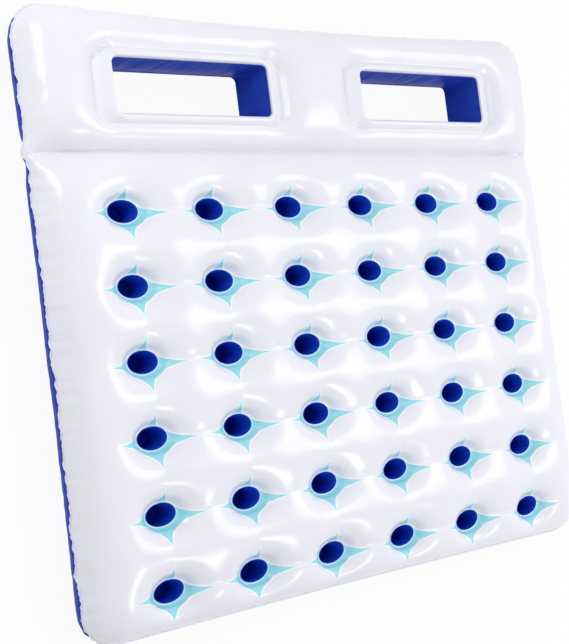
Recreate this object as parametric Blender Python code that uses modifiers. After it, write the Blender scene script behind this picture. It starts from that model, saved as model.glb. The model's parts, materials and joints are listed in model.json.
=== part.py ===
# Inflatable two-person pool mattress: a quilted bed chamber with rows of closed pockets, and a
# separate pillow chamber with two hand-hold windows, joined by a welded crease that acts as a hinge.
# Metres, +Z up. X runs across the mattress and +Y points to the pillow. The origin is under the
# middle of the whole mattress, on the surface it rests on.
import math

import bmesh
import bpy
from mathutils import Matrix, Vector

# Film and welds
film = 0.0004  # thickness of the vinyl sheets
weld_gap = 0.0003  # room left between two faces that are welded together
seam_flange = 0.006  # flat welded edge round the outside
seam_height = 0.082  # height of the flange above the ground
corner_radius = 0.085  # plan radius of the outer corners, at the seam

# Bed chamber and its pocket field
column_count = 6
row_count = 6
column_pitch = 0.255
row_pitch = 0.179
side_margin = 0.2215  # outer column of pockets to the side seam
foot_margin = 0.0950  # last row of pockets to the foot seam
head_margin = 0.1465  # first row of pockets to the welded crease
bed_height = 0.158  # top of the crowns, at the middle of the bed
bed_crown_drop = 0.012  # fall of the bed's crowns from its middle to the foot and to the crease
pocket_half_width = 0.042
pocket_half_depth = 0.027
pocket_sink = 0.034  # mouth of a pocket below the crowns
pocket_lift = 0.040  # floor of a pocket above the ground
top_dimple_reach_x = 0.106  # how far the top sheet dips round a pocket's mouth
top_dimple_reach_y = 0.083
bottom_dimple_reach_x = 0.070
bottom_dimple_reach_y = 0.070

# Pillow chamber and its windows
pillow_height = 0.167
window_width = 0.476
window_depth = 0.138
window_to_side = 0.222  # window to the side seam
window_to_crease = 0.082
window_to_head = 0.130  # window to the head seam
window_corner_radius = 0.026
lip_crest_offset = 0.012  # rounded lip round a window: crest, then outer crease
lip_crease_offset = 0.023
lip_crest_drop = 0.007  # below the pillow's crowns
lip_crease_drop = 0.020
lip_rim_drop = 0.017
under_lip_crest_rise = 0.002  # the same lip on the underside, above the ground
under_lip_crease_rise = 0.008
under_lip_rim_rise = 0.006
lip_land = 0.034  # lip's outer crease to the plain film

# Rounded edges
roll_width = 0.065  # plan width of the rounded edge roll at the sides and the head
foot_roll_width = 0.110
crease_width = 0.060  # plan width of the slope down to the welded crease
crease_flange = 0.003  # flat edge of each sheet beside the crease
rest_cut = 0.0005  # depth by which the underside is pressed flat where it stands
side_draw_in = 0.008  # edges pulled in between the corners
foot_draw_in = 0.006
head_draw_in = 0.020

# Welded crease between the chambers
crease_strip_width = 0.010
fold_gap = 0.0009  # between the crease strip and the pillow's sheets, centred on the fold axis

# Air valves
valve_flange_radius = 0.014
valve_flange_thickness = 0.0012
valve_throat_radius = 0.0082
valve_throat_wall = 0.0010
valve_throat_depth = 0.0175
valve_slide_gap = 0.0003  # running clearance of the stem in the throat
stem_wall = 0.0022
stem_length = 0.0190
stem_proud = 0.0030  # stem's mouth above the flange when it is pushed in
stem_lip_radius = 0.0078
stem_lip_height = 0.0014
plug_fit_gap = 0.00025
plug_shank_length = 0.0080
plug_taper = 0.0006
plug_head_radius = 0.0072
plug_head_height = 0.0018
plug_tab_length = 0.0090
plug_tab_width = 0.0070
plug_tab_thickness = 0.0012
flap_thickness = 0.0005
flap_land = 0.0009  # flap's overlap on the stem's inner end
flap_hinge_inset = 0.0003  # hinge line inside the flap's edge
valve_hole_gap = 0.0004
cut_overrun = 0.004
merge_distance = 0.00001

# Facet counts and shares that shape the forms
pocket_sides = 12
sleeve_turn_share = 0.5  # of one facet, so the sleeve's corners meet those of the mouth
valve_sides = 24
roll_shares = (0.05, 0.19, 0.55, 1.0)  # lines along the edge roll, as shares of roll_width
crease_shares = (0.16, 0.38, 0.68)  # lines up the slope beside the crease, of its plan room
top_cell_shares = (-1.0, -math.tan(math.radians(15.0)), math.tan(math.radians(15.0)), 1.0)
bottom_cell_shares = (-1.0, 0.0, 1.0)
outer_cell_share = 0.57  # of side_margin, taken by the outer pockets' cells
foot_cell_share = 0.64
head_cell_share = 0.60
dimple_ring_share = 0.40  # middle ring of a dimple, between the mouth and the cell's edge
window_line_shares = (-1.0, -0.80, -0.40, 0.0, 0.40, 0.80, 1.0)
window_row_shares = (-1.0, -0.48, 0.0, 0.48, 1.0)
seat_edge_share = 1.10  # pocket floor's disc over the sleeve
post_line_share = 0.45  # extra line across each outer post of the pillow
bed_valve_row = 3
pillow_valve_row = 1
lip_end_share = 1.5  # lip's width at a window's short ends over that along its long sides
tab_segments = 4
tab_profile_share = 0.5

# Where the parts lie, worked out from the sizes above
half_grid = column_pitch * (column_count - 1) / 2
seam_x = half_grid + side_margin
pillow_run = window_to_crease + window_depth + window_to_head
bed_run = foot_margin + row_pitch * (row_count - 1) + head_margin
total_length = bed_run + pillow_run + 2 * seam_flange
foot_seam_y = -total_length / 2 + seam_flange
head_seam_y = total_length / 2 - seam_flange
crease_y = foot_seam_y + bed_run
bed_edge_y = crease_y - crease_strip_width / 2 - weld_gap
fold_axis_y = crease_y + crease_strip_width / 2 + fold_gap / 2
pillow_edge_y = fold_axis_y + fold_gap / 2
window_y = crease_y + window_to_crease + window_depth / 2
window_x = seam_x - window_to_side - window_width / 2
upper_seam = seam_height + weld_gap / 2 + film  # outer faces of the two flanges
lower_seam = seam_height - weld_gap / 2 - film
bed_middle_y = (foot_seam_y + bed_edge_y) / 2
corner_reach = corner_radius + seam_flange


def column_x(column):
    return (column - (column_count - 1) / 2) * column_pitch


def row_y(row):
    return foot_seam_y + foot_margin + (row_count - 1 - row) * row_pitch


def clamp(value, low, high):
    return max(low, min(high, value))


# A quarter of an ellipse: 0 on the seam, 1 where the edge roll meets the flat of the sheet.
def edge_roll(distance, width):
    inside = clamp(distance / width, 0.0, 1.0)
    return math.sqrt(1.0 - (1.0 - inside) ** 2)


# A quarter of a sine wave, so the film leaves the crease at a slope and the pillow can fold.
def crease_rise(distance):
    return math.sin(clamp(distance / crease_width, 0.0, 1.0) * math.pi / 2)


# How full the chamber is at a place: 0 on a weld, 1 well inside.
def fullness(x, y):
    side = seam_x - abs(x)
    if y < crease_y:
        roll = min(edge_roll(side, roll_width), edge_roll(y - foot_seam_y, foot_roll_width))
        return roll * crease_rise(bed_edge_y - crease_flange - y)
    roll = edge_roll(min(side, head_seam_y - y), roll_width)
    return roll * crease_rise(y - pillow_edge_y - crease_flange)


# Fall of a sheet towards the pockets: a smooth step down to 1 at each mouth.
def dimple(x, y, reach_x, reach_y):
    total = 0.0
    for column in range(column_count):
        for row in range(row_count):
            dx = (x - column_x(column)) / pocket_half_width
            dy = (y - row_y(row)) / pocket_half_depth
            across = math.hypot(dx, dy)
            if across <= 1.0:
                return 1.0
            away = math.hypot((x - column_x(column)) / reach_x, (y - row_y(row)) / reach_y)
            part = clamp(1.0 - away * (1.0 - 1.0 / across), 0.0, 1.0)
            total += part * part * (3.0 - 2.0 * part)
    return min(total, 1.0)


# Level of the bed's crowns: highest at its middle, lower towards the foot and the crease.
def crown_z(y):
    along = 2.0 * (y - bed_middle_y) / (bed_edge_y - foot_seam_y)
    return bed_height - bed_crown_drop * along * along


def bed_top_z(x, y):
    sink = pocket_sink * dimple(x, y, top_dimple_reach_x, top_dimple_reach_y)
    return upper_seam + fullness(x, y) * (crown_z(y) - upper_seam - sink)


def bed_bottom_z(x, y):
    lift = pocket_lift * dimple(x, y, bottom_dimple_reach_x, bottom_dimple_reach_y)
    return max(0.0, lower_seam - fullness(x, y) * (lower_seam + rest_cut - lift))


# A pocket's mouth leans with the sheet round it, most in the row beside the foot's edge roll.
def mouth_z(x, y):
    return upper_seam + fullness(x, y) * (crown_z(y) - upper_seam - pocket_sink)


def pillow_top_z(x, y):
    return upper_seam + fullness(x, y) * (pillow_height - upper_seam)


def pillow_bottom_z(x, y):
    return max(0.0, lower_seam - fullness(x, y) * (lower_seam + rest_cut))


# Square grid turned to round corners: each square ring of a corner becomes an arc of that radius.
def round_corner(across, along):
    p = across / corner_reach
    q = along / corner_reach
    ring = max(p, q)
    if ring <= 0.0:
        return across, along
    turn = math.pi / 4 * min(p, q) / ring
    angle = turn if p >= q else math.pi / 2 - turn
    return ring * math.cos(angle) * corner_reach, ring * math.sin(angle) * corner_reach


# Plan position of a grid point, with the corners rounded and the edges drawn in.
def plan(x, y):
    side = math.copysign(1.0, x)
    far = abs(x)
    end_y = head_seam_y if y > crease_y else foot_seam_y
    end = math.copysign(1.0, end_y - crease_y)
    start_x = seam_x - corner_radius
    start_y = end_y - end * corner_radius
    along = (y - start_y) * end
    if far > start_x and along > 0.0:
        across, along = round_corner(far - start_x, along)
        far = start_x + across
        y = start_y + end * along
    margin = side_margin * (1.0 - outer_cell_share)
    middle = 1.0 - (2.0 * y / total_length) ** 2
    drawn = far - side_draw_in * middle * clamp((far - seam_x + margin) / margin, 0.0, 1.0)
    waist = 1.0 - (far / seam_x) ** 2
    if end > 0.0:
        room = head_seam_y - window_y - window_depth / 2 - lip_crease_offset - lip_land
        shift = -head_draw_in * waist * clamp((y - head_seam_y + room) / room, 0.0, 1.0)
    else:
        room = foot_margin * (1.0 - foot_cell_share)
        shift = foot_draw_in * waist * clamp((foot_seam_y + room - y) / room, 0.0, 1.0)
    return side * drawn, y + shift


# Distances inward from a seam: the flange's edge, the seam, then lines along the roll.
def edge_lines(room, width):
    lines = [-seam_flange, 0.0]
    return lines + [width * share for share in roll_shares if width * share < room]


# Lines across the mattress, symmetric about its middle, from the lines of the right half.
def both_sides(right_half):
    left_half = [-value for value in reversed(right_half) if value > 0.0]
    return left_half + right_half


def cell_line_y(row, share):
    if share > 0.0:
        reach = head_margin * head_cell_share if row == 0 else row_pitch / 2
    else:
        reach = foot_margin * foot_cell_share if row == row_count - 1 else row_pitch / 2
    return row_y(row) + share * reach


def cell_line_x(column, share):
    outer = (column == 0 and share < 0.0) or (column == column_count - 1 and share > 0.0)
    reach = side_margin * outer_cell_share if outer else column_pitch / 2
    return column_x(column) + share * reach


# Grid lines of a bed sheet, and where each pocket's cell starts in them.
def bed_lines(shares):
    span = len(shares) - 1
    side_room = side_margin * (1.0 - outer_cell_share)
    foot_room = foot_margin * (1.0 - foot_cell_share)
    side = edge_lines(side_room, roll_width)
    x_lines = [distance - seam_x for distance in side]
    for column in range(column_count):
        x_lines += [cell_line_x(column, share) for share in shares[:-1]]
    x_lines.append(cell_line_x(column_count - 1, shares[-1]))
    x_lines += [seam_x - distance for distance in reversed(side)]
    foot = edge_lines(foot_room, foot_roll_width)
    y_lines = [foot_seam_y + distance for distance in foot]
    for row in reversed(range(row_count)):
        y_lines += [cell_line_y(row, share) for share in shares[:-1]]
    top_cell = cell_line_y(0, shares[-1])
    y_lines.append(top_cell)
    flat = bed_edge_y - crease_flange
    y_lines += [flat - (flat - top_cell) * share for share in reversed(crease_shares)]
    y_lines += [flat, bed_edge_y]
    cells = {}
    for column in range(column_count):
        for row in range(row_count):
            start = (len(side) + span * column, len(foot) + span * (row_count - 1 - row))
            cells[start] = (column_x(column), row_y(row))
    return x_lines, y_lines, cells, (span, span)


# Grid lines of a pillow sheet, and where each window's cell starts in them.
def pillow_lines():
    half_x = window_width / 2 + lip_crease_offset * lip_end_share + lip_land
    half_y = window_depth / 2 + lip_crease_offset + lip_land
    side_room = seam_x - window_x - half_x
    side = edge_lines(side_room, roll_width)
    post = seam_x - side[-1]
    right = [0.0] + [window_x + share * half_x for share in window_line_shares]
    right.append(window_x + half_x + (post - window_x - half_x) * post_line_share)
    right += [seam_x - distance for distance in reversed(side)]
    x_lines = both_sides(right)
    flat = pillow_edge_y + crease_flange
    lower = window_y - half_y
    y_lines = [pillow_edge_y, flat]
    y_lines += [flat + (lower - flat) * share for share in crease_shares]
    first_row = len(y_lines)
    y_lines += [window_y + share * half_y for share in window_row_shares]
    head = edge_lines(head_seam_y - window_y - half_y, roll_width)
    y_lines += [head_seam_y - distance for distance in reversed(head)]
    span = (len(window_line_shares) - 1, len(window_row_shares) - 1)
    middle = len(x_lines) // 2
    cells = {
        (middle + 1, first_row): (window_x, window_y),
        (middle - 1 - span[0], first_row): (-window_x, window_y),
    }
    return x_lines, y_lines, cells, span


# Border of a block of the grid, anticlockwise from its lower left corner.
def block_border(start, span):
    i, j = start
    low = [(i + step, j) for step in range(span[0])]
    right = [(i + span[0], j + step) for step in range(span[1])]
    high = [(i + span[0] - step, j + span[1]) for step in range(span[0])]
    left = [(i, j + span[1] - step) for step in range(span[1])]
    return low + right + high + left


def ellipse_ring(border, centre, half_x, half_y):
    points = []
    x_sizes = [x - centre[0] for x, y in border]
    y_sizes = [y - centre[1] for x, y in border]
    for dx, dy in zip(x_sizes, y_sizes):
        reach_x = max(x_sizes) if dx > 0.0 else -min(x_sizes)
        reach_y = max(y_sizes) if dy > 0.0 else -min(y_sizes)
        angle = math.atan2(dy / reach_y, dx / reach_x)
        points.append((centre[0] + half_x * math.cos(angle), centre[1] + half_y * math.sin(angle)))
    return points


# Rounded rectangle in step with a window cell's border: each corner takes three of its points.
def window_ring(centre, offset):
    half_x = window_width / 2 + offset * lip_end_share
    half_y = window_depth / 2 + offset
    radius = window_corner_radius + offset
    long_stops = window_line_shares[2:-2]
    short_stops = window_row_shares[2:-2]
    points = []
    for quarter in range(4):
        sign_x = (-1, 1, 1, -1)[quarter]
        sign_y = (-1, -1, 1, 1)[quarter]
        hub = (sign_x * (half_x - radius), sign_y * (half_y - radius))
        start = math.pi + quarter * math.pi / 2
        arc = [(hub[0] + radius * math.cos(start + step * math.pi / 4),
                hub[1] + radius * math.sin(start + step * math.pi / 4)) for step in range(3)]
        direction = 1 if quarter in (0, 1) else -1
        if quarter in (0, 2):
            side = [(direction * share * half_x, sign_y * half_y) for share in long_stops]
        else:
            side = [(sign_x * half_x, direction * share * half_y) for share in short_stops]
        points += arc + side
    points = points[1:] + points[:1]
    return [(centre[0] + x, centre[1] + y) for x, y in points]


def bridge(bm, outer, inner):
    count = len(outer)
    for k in range(count):
        bm.faces.new((outer[k], outer[(k + 1) % count], inner[(k + 1) % count], inner[k]))


# A sheet over a grid of lines. Each cell of the grid is filled by rings that run from its border
# in to the cell's own shape, and the last ring is left open or closed by a flat floor.
def sheet_mesh(lines, height, rings, closed, upward):
    x_lines, y_lines, cells, span = lines
    bm = bmesh.new()
    points = {}
    for i, x in enumerate(x_lines):
        for j, y in enumerate(y_lines):
            points[i, j] = (x, y)
    inside = set()
    hidden = set()
    for start in cells:
        for i in range(span[0]):
            for j in range(span[1]):
                inside.add((start[0] + i, start[1] + j))
                if i and j:
                    hidden.add((start[0] + i, start[1] + j))
    verts = {}
    for key, (x, y) in points.items():
        if key not in hidden:
            verts[key] = bm.verts.new((*plan(x, y), height(x, y)))
    for i in range(len(x_lines) - 1):
        for j in range(len(y_lines) - 1):
            if (i, j) not in inside:
                corners = ((i, j), (i + 1, j), (i + 1, j + 1), (i, j + 1))
                bm.faces.new([verts[key] for key in corners])
    for start, centre in cells.items():
        keys = block_border(start, span)
        outer = [verts[key] for key in keys]
        for ring in rings([points[key] for key in keys], centre):
            inner = [bm.verts.new(point) for point in ring]
            bridge(bm, outer, inner)
            outer = inner
        if closed:
            bm.faces.new(outer)
    if not upward:
        bmesh.ops.reverse_faces(bm, faces=bm.faces)
    bmesh.ops.triangulate(bm, faces=bm.faces, quad_method="SHORT_EDGE", ngon_method="BEAUTY")
    mesh = bpy.data.meshes.new("sheet")
    bm.to_mesh(mesh)
    bm.free()
    return mesh


def top_pocket_rings(border, centre):
    mouth = ellipse_ring(border, centre, pocket_half_width, pocket_half_depth)
    middle = []
    for near, far in zip(mouth, border):
        x = near[0] + (far[0] - near[0]) * dimple_ring_share
        y = near[1] + (far[1] - near[1]) * dimple_ring_share
        middle.append((x, y, bed_top_z(x, y)))
    return middle, [(x, y, mouth_z(x, y)) for x, y in mouth]


def bottom_pocket_rings(border, centre):
    widen = seat_edge_share / math.cos(math.pi / len(border))
    half_x = (pocket_half_width + film) * widen
    half_y = (pocket_half_depth + film) * widen
    seat = ellipse_ring(border, centre, half_x, half_y)
    return ([(x, y, pocket_lift) for x, y in seat],)


def top_window_rings(border, centre):
    steps = ((lip_crease_offset, lip_crease_drop), (lip_crest_offset, lip_crest_drop), (0.0, lip_rim_drop))
    return [[(x, y, pillow_height - drop) for x, y in window_ring(centre, offset)] for offset, drop in steps]


def bottom_window_rings(border, centre):
    steps = (
        (lip_crease_offset, under_lip_crease_rise),
        (lip_crest_offset, under_lip_crest_rise),
        (0.0, under_lip_rim_rise),
    )
    return [[(x, y, rise) for x, y in window_ring(centre, offset)] for offset, rise in steps]


def clear_scene():
    for item in list(bpy.data.objects):
        bpy.data.objects.remove(item, do_unlink=True)


def new_collection(name):
    collection = bpy.data.collections.new(name)
    bpy.context.scene.collection.children.link(collection)
    return collection


def give_material(item, colour, roughness):
    material = bpy.data.materials.new(item.name + "_vinyl")
    material.use_nodes = True
    shader = material.node_tree.nodes["Principled BSDF"]
    shader.inputs["Base Color"].default_value = (*colour, 1.0)
    shader.inputs["Roughness"].default_value = roughness
    shader.inputs["Metallic"].default_value = 0.0
    item.data.materials.append(material)


def new_object(name, mesh, collection, colour, roughness=0.3):
    item = bpy.data.objects.new(name, mesh)
    collection.objects.link(item)
    give_material(item, colour, roughness)
    return item


def add_film(item, offset=-1.0):
    shell = item.modifiers.new("film", "SOLIDIFY")
    shell.thickness = film
    shell.offset = offset
    shell.use_rim = True


def smooth(mesh, angle=40.0):
    mesh.shade_smooth()
    mesh.set_sharp_from_angle(angle=math.radians(angle))


white_film_colour = (0.86, 0.86, 0.91)
blue_film_colour = (0.012, 0.045, 0.35)
clear_vinyl_colour = (0.62, 0.68, 0.75)


def make_sheet(name, collection, lines, height, rings, closed, upward, colour):
    mesh = sheet_mesh(lines, height, rings, closed, upward)
    smooth(mesh)
    item = new_object(name, mesh, collection, colour)
    add_film(item)
    return item


# A pocket's sleeve: an oval tube from the mouth in the top sheet to the floor on the bottom one.
def make_pocket(column, row, collection):
    centre_x, centre_y = column_x(column), row_y(row)
    low = pocket_lift + film + weld_gap
    bm = bmesh.new()
    lower = []
    upper = []
    for side in range(pocket_sides):
        angle = 2 * math.pi * (side + sleeve_turn_share) / pocket_sides
        x = pocket_half_width * math.cos(angle)
        y = pocket_half_depth * math.sin(angle)
        high = mouth_z(centre_x + x, centre_y + y) - film - weld_gap
        lower.append(bm.verts.new((x, y, 0.0)))
        upper.append(bm.verts.new((x, y, high - low)))
    bridge(bm, lower, upper)
    mesh = bpy.data.meshes.new("pocket_sleeve")
    bm.to_mesh(mesh)
    bm.free()
    smooth(mesh)
    item = new_object(f"pocket_sleeve_r{row + 1}c{column + 1}", mesh, collection, blue_film_colour)
    item.location = (centre_x, centre_y, low)
    add_film(item, offset=1.0)
    return item


def make_lining(name, side, collection):
    low = under_lip_rim_rise + film + weld_gap
    high = pillow_height - lip_rim_drop - film - weld_gap
    bm = bmesh.new()
    ring = window_ring((0.0, 0.0), 0.0)
    lower = [bm.verts.new((x, y, low)) for x, y in ring]
    upper = [bm.verts.new((x, y, high)) for x, y in ring]
    bridge(bm, lower, upper)
    mesh = bpy.data.meshes.new(name)
    bm.to_mesh(mesh)
    bm.free()
    smooth(mesh)
    item = new_object(name, mesh, collection, blue_film_colour)
    item.location = (side * window_x, window_y, 0.0)
    add_film(item, offset=1.0)
    return item


# The welded crease: both films fused in one flat strip from side to side.
def make_crease(collection):
    thickness = upper_seam - lower_seam
    bm = bmesh.new()
    bmesh.ops.create_cube(bm, size=1.0)
    half_strip = plan(seam_x + seam_flange, crease_y)[0]
    bmesh.ops.scale(bm, verts=bm.verts, vec=(2 * half_strip, crease_strip_width, thickness))
    mesh = bpy.data.meshes.new("pillow_crease_weld")
    bm.to_mesh(mesh)
    bm.free()
    item = new_object("pillow_crease_weld", mesh, collection, white_film_colour)
    item.location = (0.0, crease_y, seam_height)
    return item


def turned_mesh(name, profile):
    mesh = bpy.data.meshes.new(name)
    count = len(profile)
    open_ended = profile[0][0] == 0.0
    edges = [(k, (k + 1) % count) for k in range(count - 1 if open_ended else count)]
    mesh.from_pydata([(radius, 0.0, z) for radius, z in profile], edges, [])
    return mesh


def turned_object(name, profile, collection, colour):
    item = new_object(name, turned_mesh(name, profile), collection, colour)
    screw = item.modifiers.new("turn", "SCREW")
    screw.steps = valve_sides
    screw.render_steps = valve_sides
    screw.use_merge_vertices = True
    screw.merge_threshold = merge_distance
    screw.use_normal_calculate = False
    screw.use_smooth_shade = True
    return item


# Where a valve sits: the middle of the flat facet of the underside's edge roll, and its normal.
def valve_seat(lines, row, height):
    x_lines, y_lines = lines[0], lines[1]
    places = []
    for share in (roll_shares[1], roll_shares[2]):
        x = seam_x - roll_width * share
        for j in (row, row + 1):
            y = y_lines[j]
            places.append(Vector((*plan(x, y), height(x, y))))
    centre = sum(places, Vector()) / len(places)
    normal = (places[2] - places[0]).cross(places[1] - places[0]).normalized()
    if normal.x < 0.0:
        normal.negate()
    return centre, normal


# Valve parts are turned about their own +Z, which points out of the chamber.
def seat_matrix(centre, normal):
    side = Vector((0.0, 1.0, 0.0))
    side = (side - normal * side.dot(normal)).normalized()
    up = normal.cross(side)
    rotation = Matrix((side, up, normal)).transposed().to_4x4()
    return Matrix.Translation(centre) @ rotation


def cut_hole(item, name, radius, depth, matrix, cutters):
    bm = bmesh.new()
    bmesh.ops.create_cone(bm, cap_ends=True, segments=valve_sides, radius1=radius,
                          radius2=radius, depth=depth)
    mesh = bpy.data.meshes.new(name)
    bm.to_mesh(mesh)
    bm.free()
    cutter = bpy.data.objects.new(name, mesh)
    cutters.objects.link(cutter)
    cutter.matrix_world = matrix
    cutter.display_type = "WIRE"
    cutter.hide_render = True
    hole = item.modifiers.new(name, "BOOLEAN")
    hole.operation = "DIFFERENCE"
    hole.solver = "EXACT"
    hole.object = cutter
    return cutter


def throat_bore():
    return valve_throat_radius - valve_throat_wall


# The moulded base: a flange welded on the film and a throat that reaches into the chamber.
def make_valve_base(name, matrix, collection):
    top = weld_gap + valve_flange_thickness
    bore = throat_bore()
    profile = (
        (bore, top),
        (valve_flange_radius - valve_flange_thickness / 2, top),
        (valve_flange_radius, weld_gap + valve_flange_thickness / 2),
        (valve_flange_radius, weld_gap),
        (valve_throat_radius, weld_gap),
        (valve_throat_radius, -valve_throat_depth),
        (bore, -valve_throat_depth),
    )
    item = turned_object(name, profile, collection, clear_vinyl_colour)
    item.matrix_world = matrix
    return item


def stem_radius():
    return throat_bore() - valve_slide_gap


def stem_top():
    return weld_gap + valve_flange_thickness + stem_proud


def make_valve_stem(name, matrix, collection):
    outer = stem_radius()
    bore = outer - stem_wall
    top = stem_top()
    lip_low = top - stem_lip_height
    profile = (
        (bore, top),
        (stem_lip_radius - stem_lip_height / 2, top),
        (stem_lip_radius, top - stem_lip_height / 2),
        (outer, lip_low),
        (outer, top - stem_length),
        (bore, top - stem_length),
    )
    item = turned_object(name, profile, collection, clear_vinyl_colour)
    item.matrix_world = matrix
    return item


# Plug with a rounded head and a flat pull tab, fused into one moulding.
def make_valve_plug(name, matrix, collection, cutters):
    shank = stem_radius() - stem_wall - plug_fit_gap
    low = stem_top() + weld_gap
    top = low + plug_head_height
    profile = (
        (0.0, top),
        (plug_head_radius - plug_head_height / 2, top),
        (plug_head_radius, top - plug_head_height / 2),
        (plug_head_radius, low),
        (shank, low),
        (shank, low - plug_shank_length + plug_taper),
        (shank - plug_taper, low - plug_shank_length),
        (0.0, low - plug_shank_length),
    )
    item = turned_object(name, profile, collection, clear_vinyl_colour)
    item.matrix_world = matrix
    bm = bmesh.new()
    bmesh.ops.create_cube(bm, size=1.0)
    reach = plug_head_radius / 2 + plug_tab_length
    bmesh.ops.scale(bm, verts=bm.verts, vec=(plug_tab_width, reach, plug_tab_thickness))
    outer_edges = [e for e in bm.edges if all(v.co.y > 0.0 for v in e.verts)
                   and abs(e.verts[0].co.z - e.verts[1].co.z) > 0.0]
    bmesh.ops.bevel(bm, geom=outer_edges, offset=plug_tab_width / 2 - plug_taper,
                    segments=tab_segments, profile=tab_profile_share, affect="EDGES")
    middle = plug_head_radius / 2 + reach / 2
    bmesh.ops.translate(bm, verts=bm.verts, vec=(0.0, middle, low + plug_tab_thickness / 2))
    mesh = bpy.data.meshes.new(name + "_tab")
    bm.to_mesh(mesh)
    bm.free()
    tab = bpy.data.objects.new(name + "_tab", mesh)
    cutters.objects.link(tab)
    tab.matrix_world = matrix
    tab.display_type = "WIRE"
    tab.hide_render = True
    fuse = item.modifiers.new("tab", "BOOLEAN")
    fuse.operation = "UNION"
    fuse.solver = "EXACT"
    fuse.object = tab
    return item


# Check flap: a thin disc on the stem's inner end, with its origin on its hinge line.
def make_valve_flap(name, matrix, collection):
    radius = stem_radius() - stem_wall + flap_land
    hinge = radius - flap_hinge_inset
    high = stem_top() - stem_length - weld_gap
    bm = bmesh.new()
    bmesh.ops.create_cone(bm, cap_ends=True, segments=valve_sides, radius1=radius,
                          radius2=radius, depth=flap_thickness,
                          matrix=Matrix.Translation((0.0, hinge, -flap_thickness / 2)))
    mesh = bpy.data.meshes.new(name)
    bm.to_mesh(mesh)
    bm.free()
    smooth(mesh)
    item = new_object(name, mesh, collection, clear_vinyl_colour)
    item.matrix_world = matrix @ Matrix.Translation((0.0, -hinge, high))
    return item


def make_valve(prefix, sheet, lines, row, height, collection, cutters):
    matrix = seat_matrix(*valve_seat(lines, row, height))
    cut_hole(sheet, prefix + "_valve_hole", valve_throat_radius + valve_hole_gap,
             cut_overrun * 2, matrix, cutters)
    return [
        make_valve_base(prefix + "_valve_base", matrix, collection),
        make_valve_stem(prefix + "_valve_stem", matrix, collection),
        make_valve_plug(prefix + "_valve_plug", matrix, collection, cutters),
        make_valve_flap(prefix + "_valve_flap", matrix, collection),
    ]


def make_empty(name, location, collection):
    empty = bpy.data.objects.new(name, None)
    collection.objects.link(empty)
    empty.location = location
    return empty


# Hang items on an empty without moving them.
def carry(parent, items):
    bpy.context.view_layer.update()
    for item in items:
        item.parent = parent
        item.matrix_parent_inverse = parent.matrix_world.inverted()


# The drawn-in edges make the two ends unlike, so the finished mattress is centred on the origin.
def centre_on_origin(sheets, collections):
    reach = [vertex.co.y for sheet in sheets for vertex in sheet.data.vertices]
    shift = Matrix.Translation((0.0, -(min(reach) + max(reach)) / 2, 0.0))
    for collection in collections:
        for item in collection.objects:
            if item.parent is None:
                item.matrix_world = shift @ item.matrix_world


def main():
    clear_scene()
    parts = new_collection("pool_air_mattress")
    cutters = new_collection("pool_air_mattress_cutters")
    top_lines = bed_lines(top_cell_shares)
    bottom_lines = bed_lines(bottom_cell_shares)
    head_lines = pillow_lines()

    bed_top = make_sheet("bed_top_sheet", parts, top_lines, bed_top_z, top_pocket_rings, False,
                         True, white_film_colour)
    bed_bottom = make_sheet("bed_bottom_sheet", parts, bottom_lines, bed_bottom_z,
                            bottom_pocket_rings, True, False, blue_film_colour)
    for row in range(row_count):
        for column in range(column_count):
            make_pocket(column, row, parts)
    make_crease(parts)
    foot_room = foot_margin * (1.0 - foot_cell_share)
    bed_valve_line = len(edge_lines(foot_room, foot_roll_width)) + bed_valve_row
    make_valve("bed", bed_bottom, bottom_lines, bed_valve_line, bed_bottom_z, parts, cutters)

    fold = make_empty("pillow_fold_axis", (0.0, fold_axis_y, seam_height), parts)
    pillow_top = make_sheet("pillow_top_sheet", parts, head_lines, pillow_top_z, top_window_rings,
                            False, True, white_film_colour)
    pillow_bottom = make_sheet("pillow_bottom_sheet", parts, head_lines, pillow_bottom_z,
                               bottom_window_rings, False, False, blue_film_colour)
    linings = [make_lining("window_lining_left", -1.0, parts), make_lining("window_lining_right", 1.0, parts)]
    pillow_valve_line = 2 + len(crease_shares) + pillow_valve_row
    pieces = make_valve("pillow", pillow_bottom, head_lines, pillow_valve_line, pillow_bottom_z,
                        parts, cutters)
    carry(fold, [pillow_top, pillow_bottom] + linings + pieces)
    centre_on_origin((bed_top, bed_bottom, pillow_top, pillow_bottom), (parts, cutters))


main()
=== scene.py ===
# Looks of the pool air mattress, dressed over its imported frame.
# Metres; X runs across the mattress, +Y points to the pillow, and the floor is at zero.
import json
import math
from functools import partial

import bpy
import numpy as np
from mathutils import Matrix, Vector


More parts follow.
